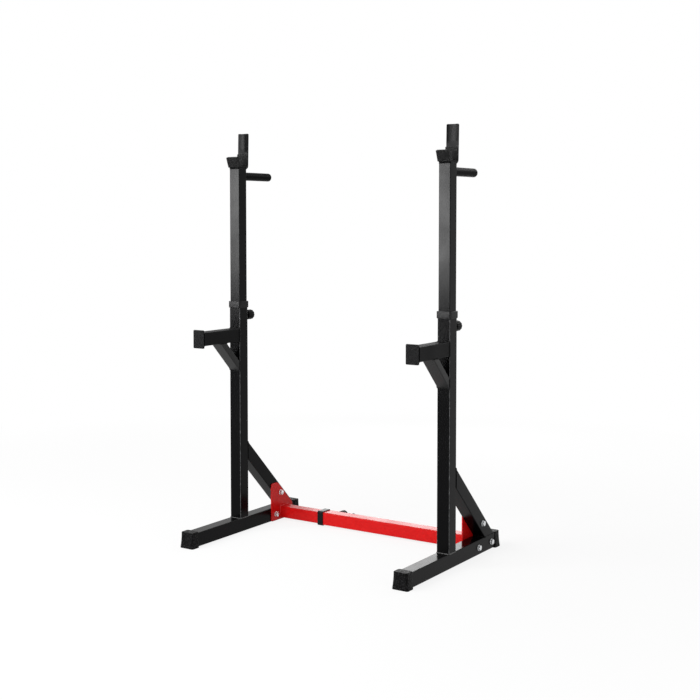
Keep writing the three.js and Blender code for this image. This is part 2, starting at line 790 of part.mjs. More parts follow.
const squatStand = new THREE.Group();
const rightStand = buildStand('right', 1);
const leftStand = buildStand('left', -1);
crossbarOuterHalf(rightStand);
crossbarInnerHalf(leftStand);
squatStand.add(rightStand, leftStand);

export default squatStand;
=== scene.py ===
"""Squat stand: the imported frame's finishes, welds, knobs and threads. In metres, +Z up."""

import json
import math

import bmesh
import bpy
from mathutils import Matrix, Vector

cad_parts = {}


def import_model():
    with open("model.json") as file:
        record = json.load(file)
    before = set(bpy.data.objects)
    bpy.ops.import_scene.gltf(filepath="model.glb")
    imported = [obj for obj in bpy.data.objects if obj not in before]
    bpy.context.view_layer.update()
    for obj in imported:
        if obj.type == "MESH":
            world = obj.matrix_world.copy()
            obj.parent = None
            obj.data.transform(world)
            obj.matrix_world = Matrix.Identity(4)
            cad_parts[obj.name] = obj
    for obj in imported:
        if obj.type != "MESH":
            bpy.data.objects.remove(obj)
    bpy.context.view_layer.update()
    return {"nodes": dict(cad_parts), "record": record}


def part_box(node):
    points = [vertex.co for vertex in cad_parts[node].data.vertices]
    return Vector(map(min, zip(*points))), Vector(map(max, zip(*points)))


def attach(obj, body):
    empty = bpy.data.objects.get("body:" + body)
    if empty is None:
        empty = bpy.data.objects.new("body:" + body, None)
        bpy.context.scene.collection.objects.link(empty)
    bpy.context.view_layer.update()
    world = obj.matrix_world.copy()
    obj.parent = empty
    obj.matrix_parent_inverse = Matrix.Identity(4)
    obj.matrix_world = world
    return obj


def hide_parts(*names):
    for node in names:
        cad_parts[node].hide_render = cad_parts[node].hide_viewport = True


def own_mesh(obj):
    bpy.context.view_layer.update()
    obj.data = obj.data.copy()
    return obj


MM = 0.001
X_AXIS = Vector((1, 0, 0))
Y_AXIS = Vector((0, 1, 0))
Z_AXIS = Vector((0, 0, 1))

# Camera: the photograph's place, direction and framing
CAMERA_PLACE = (2.4849, -3.712, 1.2236)
CAMERA_YAW = 33.348
CAMERA_PITCH = 3
CAMERA_SENSOR = 36
CAMERA_LENS = 62.487
CAMERA_SHIFT = -0.0983

# Stage: the floor turns from its own colour to white with the distance from the stand
WHITE = (1, 1, 1, 1)
FLOOR_RADIUS = 40
FLOOR_SIDES = 96
FLOOR_COLOUR = (0.9, 0.9, 0.9, 1)
FLOOR_WHITE_NEAR = 0.85
FLOOR_WHITE_REACH = (1.0, 3.2)
WORLD_STRENGTH = 0.36

# Area lights: name, place, aimed at, width, height, watts, spread in degrees
LIGHTS = (
    ("post_light", (-1.74, -2.77, 1.26), (0.0, 0.0, 1.1), 1.75, 0.84, 6.8, 32),
    ("front_light", (-1.4, -3.0, 2.6), (0.0, 0.0, 0.3), 3.2, 2.4, 175, 180),
    ("fill_light", (3.2, -1.4, 0.6), (0.0, 0.0, 0.4), 1.7, 0.8, 18, 180),
    ("rear_light", (0.8, 3.0, 2.6), (0.0, 0.0, 0.4), 2.2, 1.0, 20, 180),
    ("low_rear_light", (-1.0, 2.5, 0.78), (0.2, 0.0, 0.2), 1.5, 0.7, 11, 180),
)

# Paints: name, colour, colour of the rubbed corners (on the uprights a painted highlight),
# roughness, specular level
PAINTS = (
    ("black_paint", (0.0016, 0.0016, 0.0018), (0.02, 0.02, 0.021), 0.2, 0.06),
    # The uprights' light corner colour is a painted highlight along their corners, not only rub
    ("upright_paint", (0.0016, 0.0016, 0.0018), (0.2, 0.2, 0.205), 0.2, 0.06),
    ("arm_paint", (0.0016, 0.0016, 0.0018), (0.03, 0.03, 0.031), 0.5, 0.06),
    ("brace_paint", (0.0016, 0.0016, 0.0018), (0.03, 0.03, 0.031), 0.3, 0.2),
    ("bead_paint", (0.004, 0.004, 0.0045), (0.03, 0.03, 0.031), 0.16, 0.5),
    ("red_paint", (0.54, 0.006, 0.006), (0.7, 0.08, 0.08), 0.27, 0.13),
)

# Rubbers: name, colour, size and height of a pebble, roughness, specular level, gain of the painted
# highlight on the crowns
RUBBERS = (
    ("cap_rubber", (0.002, 0.002, 0.0021), 4.6 * MM, 2.2 * MM, 0.4, 0.045, 12),
    ("liner_rubber", (0.004, 0.004, 0.004), 3.2 * MM, 1.2 * MM, 0.5, 0.07, 2),
    ("grip_rubber", (0.002, 0.002, 0.0021), 1.2 * MM, 0.1 * MM, 0.42, 0.02, 1.5),
)

# Plastics: name, colour, roughness, specular level, depth of the grain
PLASTICS = (
    ("collar_plastic", (0.006, 0.006, 0.0063), 0.28, 0.1, 0.02 * MM),
    ("knob_plastic", (0.002, 0.002, 0.0021), 0.36, 0.03, 0.05 * MM),
)

# Plated steels: name, colour, dull colour, roughness
PLATINGS = (
    ("zinc", (0.66, 0.67, 0.68), (0.4, 0.41, 0.43), 0.24),
    ("spring_steel", (0.5, 0.51, 0.53), (0.3, 0.3, 0.31), 0.32),
)

# Noises as (scale per metre, detail). A band is the stretch of a noise that is spread over shares,
# and a gloss is how far the roughness goes below and above its middle
WHOLE_BAND = (0, 1)
MIDDLE_BAND = (0.3, 0.7)
CORNER_BAND = (0.12, 0.24)
PAINT_CLOUDS = (9, 4)
PAINT_GLOSS = (-0.05, 0.06)
# Patches of the lighter corners: rubbed paint, and on the uprights a painted highlight
PAINT_RUB_AND_HIGHLIGHT = (60, 3)
PAINT_RUB_AND_HIGHLIGHT_BAND = (0.45, 0.7)
PAINT_RUB_AND_HIGHLIGHT_SHARES = (0.4, 1)
PAINT_PEEL = (420, 2)
PAINT_PEEL_DEPTH = 0.06 * MM
PAINT_PEEL_STRENGTH = 0.6
RUBBER_GRAIN = (900, 2)
RUBBER_GRAIN_SHARE = 0.25
RUBBER_GLOSS = (-0.08, 0.08)
RUBBER_DUST = (22, 5)
RUBBER_DUST_BAND = (0.45, 0.8)
RUBBER_DUST_SHARES = (0, 0.5)
RUBBER_DUST_GAIN = 2.2
RUBBER_CROWN_HIGHLIGHT_BAND = (0.05, 0.45)
PLASTIC_GRAIN = (1200, 2)
PLASTIC_CLOUDS = (35, 3)
PLASTIC_GLOSS = (-0.05, 0.07)
PLASTIC_CLOUD_BAND = (0.4, 0.75)
PLASTIC_CLOUD_SHARES = (0, 0.6)
PLASTIC_CLOUD_GAIN = 1.5
PLATED_BLOTCHES = (140, 4)
PLATED_BLOTCH_BAND = (0.45, 0.7)
PLATED_BLOTCH_SHARES = (0, 0.7)
PLATED_GLOSS = (-0.06, 0.1)
PLATED_MARKS = (2600, 2)
PLATED_MARK_DEPTH = 0.02 * MM

# Sockets of a colour Mix node
MIX_FIRST = 6
MIX_SECOND = 7
MIX_RESULT = 2

# Edge softening of the solids that are carried over
EDGE_ANGLE = 35
EDGE_WIDTH = 0.5 * MM
EDGE_SEGMENTS = 2
MERGE_DISTANCE = 0.01 * MM
FACE_WEIGHT = 60

# Pieces made here: the least angle of a sharp edge, and the small disc that closes a turned end
PIECE_EDGE_ANGLE = 40
TURNED_END = 0.2 * MM

# Weld beads: size, spacing of their ripples, slow swells as (share, turns per mm, start), and root
BEAD_RADIUS = 2.4 * MM
SMALL_BEAD_RADIUS = 1.5 * MM
BEAD_STEP = 0.9 * MM
BEAD_SIDES = 10
BEAD_RIPPLE = 3.6 * MM
BEAD_RIPPLE_SHARE = 0.12
BEAD_RIPPLE_LAG = 0.9 * MM
BEAD_SWELLS = ((0.06, 0.37, 0), (0.05, 0.91, 1.3))
BEAD_ROOT = 1.1 * MM

# Planes of the beads, by the way out of the wall that carries them
UPWARD = (X_AXIS, Y_AXIS)
DOWNWARD = (Y_AXIS, X_AXIS)
FORWARD = (X_AXIS, Z_AXIS)
REARWARD = (Z_AXIS, X_AXIS)
LEFTWARD = (-Y_AXIS, Z_AXIS)
RIGHTWARD = (Y_AXIS, Z_AXIS)

# Tubes and nuts that the beads run round
TUBE_SIDE = 50 * MM
TUBE_CORNER = 3 * MM
POST_SIDE = 46 * MM
ARM_BRACE_DEPTH = 25 * MM
BARREL_NUT = 23 * MM
CLAMP_NUT = 18 * MM
HANDLE_DIAMETER = 25 * MM

# Fluted knobs of the lock pins
KNOB_SIDES = 144
KNOB_EDGE = 3 * MM
KNOB_EDGE_STEPS = 6
KNOB_FLUTES = 12
KNOB_FLUTE_DEPTH = 1.4 * MM
KNOB_RECESS = 10.4 * MM
KNOB_RECESS_SHARE = 0.4
KNOB_RIM = 5.1 * MM
KNOB_DISH = 1.2 * MM
KNOB_HOLLOW = 0.24 * MM

# Coil springs of the lock pins
SPRING_WIRE = 1.2 * MM
SPRING_TURNS = 5
SPRING_STEPS = 24
SPRING_SIDES = 10

# Lobed clamp knob, its collar as rows of radius and height, and its screw
CLAMP_LOBES = 6
CLAMP_LOBE_DEPTH = 2.5 * MM
CLAMP_KNOB_LENGTH = 20 * MM
CLAMP_COLLAR_DEPTH = 4 * MM
CLAMP_COLLAR = ((8 * MM, -CLAMP_COLLAR_DEPTH), (9 * MM, -3 * MM), (9.5 * MM, 0))
SCREW_RADIUS = 5 * MM
THREAD_PITCH = 1.5 * MM
THREAD_DEPTH = 0.75 * MM
THREAD_STEPS = 6
THREAD_SIDES = 36

# Hex bolts and nuts. The chamfer ends on a circle that is a share of the size over the flats.
HEX_SIZE = 17 * MM
HEX_CORNER = HEX_SIZE / math.sqrt(3)
HEX_SIDES = 72
HEAD_HEIGHT = 6.4 * MM
NUT_HEIGHT = 8 * MM
CHAMFER_SHARE = 0.96
CHAMFER_SLOPE = 0.58
CHAMFER_STEPS = 6
WASHER_RADIUS = 10.5 * MM
WASHER_THICKNESS = 2 * MM
WASHER_CHAMFER = 0.6 * MM
WASHER_EDGE_SHARE = 0.7
BOLT_END = 3 * MM
BOLT_END_CHAMFER = 0.6 * MM
BOLT_END_DEPTH = 0.9 * MM


def main():
    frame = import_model()
    make_camera()
    make_floor()
    make_world()
    make_lights()
    finishes = make_finishes()
    dress_nodes(frame, finishes)
    for side, outward in (("right", 1), ("left", -1)):
        weld_stand(side, finishes)
        weld_post(side, finishes)
        make_pin_knob(side, side + "_height_pin", finishes)
        make_pin_spring(side, side + "_stand", finishes)
        make_fasteners(side, outward, finishes)
    weld_crossbar(finishes)
    make_pin_knob("crossbar", "crossbar_width_pin", finishes)
    make_pin_spring("crossbar", "right_stand", finishes)
    make_clamp_knob(finishes)


def make_camera():
    data = bpy.data.cameras.new("camera")
    data.sensor_width = CAMERA_SENSOR
    data.lens = CAMERA_LENS
    data.shift_y = CAMERA_SHIFT
    camera = bpy.data.objects.new("camera", data)
    camera.location = CAMERA_PLACE
    camera.rotation_euler = (math.radians(90 - CAMERA_PITCH), 0, math.radians(CAMERA_YAW))
    bpy.context.scene.collection.objects.link(camera)
    bpy.context.scene.camera = camera
    bpy.context.scene.view_settings.view_transform = "Standard"


class Nodes:
    """Short calls for building one node tree."""

    def __init__(self, tree):
        self.tree = tree
        self.tree.nodes.clear()

    def add(self, kind, settings=None, **inputs):
        node = self.tree.nodes.new("ShaderNode" + kind)
        for name, value in (settings or {}).items():
            setattr(node, name, value)
        for name, value in inputs.items():
            self.put(node, name.replace("_", " "), value)
        return node

    def put(self, node, key, value):
        """Link or set the input that has this name or number."""
        socket = node.inputs[key]
        if isinstance(value, bpy.types.NodeSocket):
            self.tree.links.new(value, socket)
        else:
            socket.default_value = value

    def math(self, operation, *values):
        node = self.add("Math", {"operation": operation})
        for index, value in enumerate(values):
            self.put(node, index, value)
        return node.outputs[0]

    def ramp(self, source, low, high, from_low, from_high):
        """The source's band from from_low to from_high, spread over low to high."""
        node = self.add("MapRange", Value=source, From_Min=from_low, From_Max=from_high,
                        To_Min=low, To_Max=high)
        return node.outputs["Result"]

    def mix(self, factor, first, second):
        node = self.add("Mix", {"data_type": "RGBA"}, Factor=factor)
        self.put(node, MIX_FIRST, first)
        self.put(node, MIX_SECOND, second)
        return node.outputs[MIX_RESULT]

    def noise(self, place, scale, detail):
        return self.add("TexNoise", Vector=place, Scale=scale, Detail=detail).outputs["Fac"]

    def seen_rays(self):
        """1 for camera, glossy and transmission rays, 0 for the light that falls on things."""
        path = self.add("LightPath").outputs
        seen = self.math("MAXIMUM", path["Is Camera Ray"], path["Is Glossy Ray"])
        return self.math("MAXIMUM", seen, path["Is Transmission Ray"])


def make_floor():
    mesh = bpy.data.meshes.new("floor")
    shape = bmesh.new()
    bmesh.ops.create_circle(shape, cap_ends=True, radius=FLOOR_RADIUS, segments=FLOOR_SIDES)
    shape.to_mesh(mesh)
    shape.free()
    mesh.materials.append(floor_finish())
    floor = bpy.data.objects.new("floor", mesh)
    bpy.context.scene.collection.objects.link(floor)


def floor_finish():
    """The floor's own colour near the stand, seen whiter with the distance."""
    material = bpy.data.materials.new("floor")
    material.use_nodes = True
    nodes = Nodes(material.node_tree)
    distance = nodes.add("VectorMath", {"operation": "LENGTH"})
    nodes.put(distance, 0, nodes.add("TexCoord").outputs["Object"])
    whiteness = nodes.ramp(distance.outputs["Value"], FLOOR_WHITE_NEAR, 1, *FLOOR_WHITE_REACH)
    mixed = nodes.add("MixShader")
    nodes.put(mixed, 0, nodes.math("MULTIPLY", nodes.seen_rays(), whiteness))
    nodes.put(mixed, 1, nodes.add("BsdfDiffuse", Color=FLOOR_COLOUR).outputs[0])
    nodes.put(mixed, 2, nodes.add("Emission", Color=WHITE, Strength=1).outputs[0])
    nodes.put(nodes.add("OutputMaterial"), 0, mixed.outputs[0])
    return material


def make_world():
    """A dim world that is seen as white."""
    world = bpy.data.worlds.new("world")
    bpy.context.scene.world = world
    world.use_nodes = True
    nodes = Nodes(world.node_tree)
    strength = nodes.ramp(nodes.seen_rays(), WORLD_STRENGTH, 1, *WHOLE_BAND)
    background = nodes.add("Background", Color=WHITE, Strength=strength)
    nodes.put(nodes.add("OutputWorld"), 0, background.outputs[0])


def make_lights():
    for name, place, target, width, height, watts, spread in LIGHTS:
        data = bpy.data.lights.new(name, "AREA")
        data.shape = "RECTANGLE"
        data.size = width
        data.size_y = height
        data.energy = watts
        data.spread = math.radians(spread)
        light = bpy.data.objects.new(name, data)
        light.location = place
        aim = Vector(target) - Vector(place)
        light.rotation_euler = aim.to_track_quat("-Z", "Y").to_euler()
        light.visible_camera = False
        bpy.context.scene.collection.objects.link(light)


def opaque(colour, gain=1):
    """A colour with its alpha, brightened by the gain."""
    return (*(min(1, gain * part) for part in colour), 1)


def new_finish(name):
    material = bpy.data.materials.new(name)
    material.use_nodes = True
    nodes = Nodes(material.node_tree)
    place = nodes.add("TexCoord").outputs["Object"]
    shader = nodes.add("BsdfPrincipled")
    nodes.put(nodes.add("OutputMaterial"), 0, shader.outputs[0])
    return material, nodes, place, shader


def set_roughness(nodes, shader, source, middle, gloss, band):
    below, above = gloss
    nodes.put(shader, "Roughness", nodes.ramp(source, middle + below, middle + above, *band))


def set_bump(nodes, shader, height, distance, strength=1):
    node = nodes.add("Bump", Height=height, Distance=distance, Strength=strength)
    nodes.put(shader, "Normal", node.outputs["Normal"])


def corner_mask(nodes):
    """1 on the round corners between a side face and its neighbours, 0 on the flat faces."""
    normal = nodes.add("SeparateXYZ", Vector=nodes.add("TexCoord").outputs["Normal"])
    square = nodes.math("MULTIPLY", normal.outputs["X"], normal.outputs["X"])
    product = nodes.math("MULTIPLY", square, nodes.math("SUBTRACT", 1, square))
    return nodes.ramp(product, 0, 1, *CORNER_BAND)


def paint(name, colour, rubbed_and_highlight_colour, roughness, specular):
    """Powder coat: a fine orange peel, faint clouding, and edges rubbed a little lighter; on the
    uprights the much lighter corners are a painted highlight.
    """
    material, nodes, place, shader = new_finish(name)
    clouds = nodes.noise(place, *PAINT_CLOUDS)
    # Lighter corners: rubbed paint, and on the uprights a painted highlight
    rub_and_highlight_noise = nodes.ramp(nodes.noise(place, *PAINT_RUB_AND_HIGHLIGHT), *PAINT_RUB_AND_HIGHLIGHT_SHARES, *PAINT_RUB_AND_HIGHLIGHT_BAND)
    rubbed_and_highlight_share = nodes.math("MULTIPLY", corner_mask(nodes), rub_and_highlight_noise)
    nodes.put(shader, "Base Color", nodes.mix(rubbed_and_highlight_share, opaque(colour), opaque(rubbed_and_highlight_colour)))
    set_roughness(nodes, shader, clouds, roughness, PAINT_GLOSS, MIDDLE_BAND)
    nodes.put(shader, "Specular IOR Level", specular)
    set_bump(nodes, shader, nodes.noise(place, *PAINT_PEEL), PAINT_PEEL_DEPTH, PAINT_PEEL_STRENGTH)
    return material


def rubber(name, colour, cell, depth, roughness, specular, crown_highlight_gain):
    """Moulded rubber with a pebbled face, dusty in places, with a painted highlight on the pebbles'
    crowns.
    """
    material, nodes, place, shader = new_finish(name)
    pebbles = nodes.add("TexVoronoi", {"feature": "SMOOTH_F1"}, Vector=place, Scale=1 / cell)
    distance = pebbles.outputs["Distance"]
    grain = nodes.noise(place, *RUBBER_GRAIN)
    dust = nodes.ramp(nodes.noise(place, *RUBBER_DUST), *RUBBER_DUST_SHARES, *RUBBER_DUST_BAND)
    dusty = nodes.mix(dust, opaque(colour), opaque(colour, RUBBER_DUST_GAIN))
    # Painted highlight: the pebbles' crowns are coloured lighter
    crown_highlight_share = nodes.ramp(distance, 1, 0, *RUBBER_CROWN_HIGHLIGHT_BAND)
    nodes.put(shader, "Base Color", nodes.mix(crown_highlight_share, dusty, opaque(colour, crown_highlight_gain)))
    set_roughness(nodes, shader, grain, roughness, RUBBER_GLOSS, WHOLE_BAND)
    nodes.put(shader, "Specular IOR Level", specular)
    height = nodes.ramp(distance, 1, 0, *WHOLE_BAND)
    set_bump(nodes, shader, nodes.math("MULTIPLY_ADD", grain, RUBBER_GRAIN_SHARE, height), depth)
    return material


def plastic(name, colour, roughness, specular, depth):
    """Moulded plastic with a fine grain and faint lighter clouds."""
    material, nodes, place, shader = new_finish(name)
    clouds = nodes.noise(place, *PLASTIC_CLOUDS)
    share = nodes.ramp(clouds, *PLASTIC_CLOUD_SHARES, *PLASTIC_CLOUD_BAND)
    lighter = opaque(colour, PLASTIC_CLOUD_GAIN)
    nodes.put(shader, "Base Color", nodes.mix(share, opaque(colour), lighter))
    set_roughness(nodes, shader, clouds, roughness, PLASTIC_GLOSS, MIDDLE_BAND)
    nodes.put(shader, "Specular IOR Level", specular)
    set_bump(nodes, shader, nodes.noise(place, *PLASTIC_GRAIN), depth)
    return material


def plated(name, colour, dull, roughness):
    """Bright plating with faint blotches and fine turning marks."""
    material, nodes, place, shader = new_finish(name)
    blotches = nodes.noise(place, *PLATED_BLOTCHES)
    share = nodes.ramp(blotches, *PLATED_BLOTCH_SHARES, *PLATED_BLOTCH_BAND)
    nodes.put(shader, "Base Color", nodes.mix(share, opaque(colour), opaque(dull)))
    set_roughness(nodes, shader, blotches, roughness, PLATED_GLOSS, MIDDLE_BAND)
    nodes.put(shader, "Metallic", 1)
    set_bump(nodes, shader, nodes.noise(place, *PLATED_MARKS), PLATED_MARK_DEPTH)
    return material


def make_finishes():
    finishes = {}
    for make, rows in ((paint, PAINTS), (rubber, RUBBERS), (plastic, PLASTICS), (plated, PLATINGS)):
        for name, *values in rows:
            finishes[name] = make(name, *values)
    return finishes


def dress_nodes(frame, finishes):
    """Each carried-over solid gets its slot's finish, softened edges and even shading."""
    slots = {row["node"]: row["material_slot"] for row in frame["record"]["subparts"]}
    for name, node in frame["nodes"].items():
        finish = slots[name]
        if name.endswith("_arm_brace"):
            finish = "brace_paint"
        elif "_arm" in name:
            finish = "arm_paint"
        elif name.endswith("_lower_upright"):
            # The lower uprights get the paint whose corners carry a painted highlight
            finish = "upright_paint"
        for slot in node.material_slots:
            slot.material = finishes[finish]
        weld = node.modifiers.new("weld", "WELD")
        weld.merge_threshold = MERGE_DISTANCE
        bevel = node.modifiers.new("bevel", "BEVEL")
        bevel.width = EDGE_WIDTH
        bevel.segments = EDGE_SEGMENTS
        bevel.limit_method = "ANGLE"
        bevel.angle_limit = math.radians(EDGE_ANGLE)
        bevel.use_clamp_overlap = True
        even = node.modifiers.new("even", "WEIGHTED_NORMAL")
        even.keep_sharp = False
        even.weight = FACE_WEIGHT


def add_piece(name, body, points, faces, material, replaces=()):
    """A smooth-shaded mesh in the frame's coordinates, riding on a body."""
    mesh = bpy.data.meshes.new(name)
    mesh.from_pydata(points, [], faces)
    mesh.validate()
    mesh.polygons.foreach_set("use_smooth", [True] * len(mesh.polygons))
    mesh.set_sharp_from_angle(angle=math.radians(PIECE_EDGE_ANGLE))
    mesh.materials.append(material)
    piece = bpy.data.objects.new(name, mesh)
    bpy.context.scene.collection.objects.link(piece)
    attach(piece, body)
    if replaces:
        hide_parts(*replaces)
    return piece


def skin(rings, sides):
    """Faces over a row of rings with the same number of sides, closed at both ends."""
    faces = []
    for ring in range(rings - 1):
        a, b = ring * sides, (ring + 1) * sides
        for i in range(sides):
            j = (i + 1) % sides
            faces.append((a + i, a + j, b + j, b + i))
    faces.append(tuple(reversed(range(sides))))
    faces.append(tuple(range((rings - 1) * sides, rings * sides)))
    return faces


def lathe(rows, sides, radius_at, place, axis, across):
    """Points and faces of rings along an axis, one for each (radius, height) of the rows.

    The ring's own shape comes from radius_at(radius, height, angle), with angles from across.
    """
    up = axis.cross(across)
    points = []
    for radius, height in rows:
        for i in range(sides):
            angle = 2 * math.pi * i / sides
            outward = across * math.cos(angle) + up * math.sin(angle)
            points.append(place + axis * height + outward * radius_at(radius, height, angle))
    return points, skin(len(rows), sides)


def tube_outline(width, depth):
    """Points (x, y, outward x, outward y) evenly round a tube's end with its round corners."""
    half_x = width / 2 - TUBE_CORNER
    half_y = depth / 2 - TUBE_CORNER
    turns = max(2, round(math.pi / 2 * TUBE_CORNER / BEAD_STEP))
    runs = ((1, 0, half_y), (0, 1, half_x), (-1, 0, half_y), (0, -1, half_x))
    outline = []
    for quarter, (nx, ny, half_run) in enumerate(runs):
        count = max(1, round(2 * half_run / BEAD_STEP))
        side = (half_x if nx else half_y) + TUBE_CORNER
        for i in range(count):
            along = -half_run + 2 * half_run * i / count
            outline.append((nx * side - ny * along, ny * side + nx * along, nx, ny))
        x = half_x * (1 if quarter in (0, 3) else -1)
        y = half_y * (1 if quarter in (0, 1) else -1)
        for i in range(turns):
            angle = quarter * math.pi / 2 + math.pi / 2 * i / turns
            c, s = math.cos(angle), math.sin(angle)
            outline.append((x + TUBE_CORNER * c, y + TUBE_CORNER * s, c, s))
    return outline


def round_outline(diameter):
    """The same points round a circle."""
    count = round(math.pi * diameter / BEAD_STEP)
    outline = []
    for i in range(count):
        angle = 2 * math.pi * i / count
        c, s = math.cos(angle), math.sin(angle)
        outline.append((diameter / 2 * c, diameter / 2 * s, c, s))
    return outline


def bead_reach(radius, travelled, angle):
    """A bead's radius at a place along it and an angle round it: ripples on slow swells."""
    swell = 1
    for share, rate, start in BEAD_SWELLS:
        swell += share * math.sin(travelled / MM * rate + start)
    lag = BEAD_RIPPLE_LAG * math.cos(angle - math.pi / 4)
    ripple = 1 + BEAD_RIPPLE_SHARE * math.sin(2 * math.pi * (travelled + lag) / BEAD_RIPPLE)
    return radius * swell * ripple


def add_bead(name, body, outline, centre, plane, radius, material):
    """A rippled weld bead round an outline that lies on the face of a wall.

    The plane is two directions whose cross product points out of the wall, and the bead's root
    stays inside the wall's thickness.
    """
    first, second = plane
    away = first.cross(second)
    count = len(outline)
    points = []
    travelled = 0
    for k, (x, y, out_x, out_y) in enumerate(outline):
        if k:
            travelled += math.hypot(x - outline[k - 1][0], y - outline[k - 1][1])
        outward = first * out_x + second * out_y
        here = Vector(centre) + first * x + second * y
        for i in range(BEAD_SIDES):
            angle = 2 * math.pi * i / BEAD_SIDES
            reach = bead_reach(radius, travelled, angle)
            rise = max(reach * math.sin(angle), -BEAD_ROOT)
            points.append(here + outward * (reach * math.cos(angle)) + away * rise)
    faces = []
    for k in range(count):
        a, b = k * BEAD_SIDES, (k + 1) % count * BEAD_SIDES
        for i in range(BEAD_SIDES):
            j = (i + 1) % BEAD_SIDES
            faces.append((a + i, b + i, b + j, a + j))
    add_piece(name, body, points, faces, material)


def weld_stand(side, finishes):
    """Beads where the black tubes of one stand meet, each with its centre, directions and size."""
    foot_low, foot_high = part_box(side + "_foot_tube")
    post_low, post_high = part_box(side + "_lower_upright")
    arm_low, arm_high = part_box(side + "_spotter_arm")
    prop_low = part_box(side + "_arm_brace")[0]
    brace_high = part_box(side + "_rear_brace")[1]
    barrel_low, barrel_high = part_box(side + "_pin_barrel")
    x = (foot_low.x + foot_high.x) / 2
    post_y = (post_low.y + post_high.y) / 2
    arm_z = (arm_low.z + arm_high.z) / 2
    barrel_z = (barrel_low.z + barrel_high.z) / 2
    mitre = TUBE_SIDE * math.sqrt(2)
    prop_mitre = ARM_BRACE_DEPTH * math.sqrt(2)
    brace_y = brace_high.y - mitre / 2
    brace_z = brace_high.z - mitre / 2
    prop_y = prop_low.y + prop_mitre / 2
    prop_z = prop_low.z + prop_mitre / 2
    rows = (
        ("upright_weld", (x, post_y, foot_high.z), UPWARD, TUBE_SIDE, TUBE_SIDE),
        ("brace_foot_weld", (x, brace_y, foot_high.z), UPWARD, TUBE_SIDE, mitre),
        ("brace_upright_weld", (x, post_high.y, brace_z), REARWARD, mitre, TUBE_SIDE),
        ("arm_weld", (x, post_low.y, arm_z), FORWARD, TUBE_SIDE, TUBE_SIDE),
        ("arm_plate_weld", (x, arm_low.y, arm_z), REARWARD, TUBE_SIDE, TUBE_SIDE),
        ("arm_brace_top_weld", (x, prop_y, arm_low.z), DOWNWARD, prop_mitre, TUBE_SIDE),
        ("arm_brace_foot_weld", (x, post_low.y, prop_z), FORWARD, TUBE_SIDE, prop_mitre),
    )
    body = side + "_stand"
    for name, centre, plane, width, depth in rows:
        outline = tube_outline(width, depth)
        finish = finishes["bead_paint" if name == "upright_weld" else "black_paint"]
        add_bead(f"{side}_{name}", body, outline, centre, plane, BEAD_RADIUS, finish)
    add_bead(side + "_barrel_weld", body, round_outline(BARREL_NUT),
             (x, post_high.y, barrel_z), REARWARD, SMALL_BEAD_RADIUS, finishes["black_paint"])


def weld_post(side, finishes):
    """Beads under the bar hook and round the dip handle's root."""
    post_low, post_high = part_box(side + "_upper_post")
    handle_low, handle_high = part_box(side + "_handle_tube")
    x = (post_low.x + post_high.x) / 2
    y = (post_low.y + post_high.y) / 2
    handle_z = (handle_low.z + handle_high.z) / 2
    rows = (
        ("hook_weld", tube_outline(POST_SIDE, POST_SIDE), (x, y, post_high.z), DOWNWARD),
        ("handle_weld", round_outline(HANDLE_DIAMETER), (x, post_high.y, handle_z), REARWARD),
    )
    for name, outline, centre, plane in rows:
        add_bead(f"{side}_{name}", side + "_post", outline, centre, plane, SMALL_BEAD_RADIUS,
                 finishes["black_paint"])


def weld_crossbar(finishes):
    """Beads at the crossbar's two ends, and round the barrel and the nut on it."""
    for side, tube, size, plane in (
        ("right", "crossbar_outer_tube", TUBE_SIDE, LEFTWARD),
        ("left", "crossbar_inner_tube", POST_SIDE, RIGHTWARD),
    ):
        low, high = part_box(tube)
        end_x = high.x if side == "right" else low.x
        centre = (end_x, (low.y + high.y) / 2, (low.z + high.z) / 2)
        outline = tube_outline(size, size)
        add_bead(f"crossbar_{side}_weld", side + "_stand", outline, centre, plane, BEAD_RADIUS,
                 finishes["red_paint"])
    for node, diameter in (("crossbar_pin_barrel", BARREL_NUT), ("crossbar_clamp_nut", CLAMP_NUT)):
        low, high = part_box(node)
        centre = ((low.x + high.x) / 2, low.y, (low.z + high.z) / 2)
        add_bead(node + "_weld", "right_stand", round_outline(diameter), centre,
                 REARWARD, SMALL_BEAD_RADIUS, finishes["red_paint"])


def knob_side(radius, length):
    """Rows from a knob's back to its face, with both edges rounded."""
    face = []
    for i in range(KNOB_EDGE_STEPS + 1):
        angle = math.pi / 2 * i / KNOB_EDGE_STEPS
        face.append((radius - KNOB_EDGE + KNOB_EDGE * math.cos(angle),
                     length - KNOB_EDGE + KNOB_EDGE * math.sin(angle)))
    back = [(r, length - h) for r, h in reversed(face)]
    return back + face


def make_pin_knob(prefix, body, finishes):
    """A fluted knob with a rounded rim, a dished face and a recess at its back for the barrel."""
    low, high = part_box(prefix + "_pin_knob")
    radius = (high.z - low.z) / 2
    length = high.y - low.y
    place = Vector(((low.x + high.x) / 2, low.y, (low.z + high.z) / 2))
    floor = length * KNOB_RECESS_SHARE
    mouth = KNOB_EDGE / 3
    rim = radius - KNOB_RIM
    rows = [(TURNED_END, floor), (KNOB_RECESS, floor), (KNOB_RECESS, mouth),
            (KNOB_RECESS + mouth, 0)]
    rows += knob_side(radius, length)
    dish = length - KNOB_DISH
    rows += [(rim, length), (rim - KNOB_DISH / 2, length - KNOB_DISH / 4), (rim - KNOB_DISH, dish),
             (rim / 2, dish - KNOB_HOLLOW * 3 / 4), (TURNED_END, dish - KNOB_HOLLOW)]

    def fluted(r, _height, angle):
        share = max(0, (r - (radius - KNOB_EDGE)) / KNOB_EDGE)
        return r - share * KNOB_FLUTE_DEPTH * (1 - abs(math.cos(angle * KNOB_FLUTES / 2)))

    points, faces = lathe(rows, KNOB_SIDES, fluted, place, Y_AXIS, Z_AXIS)
    add_piece(prefix + "_knob", body, points, faces, finishes["knob_plastic"],
              [prefix + "_pin_knob"])


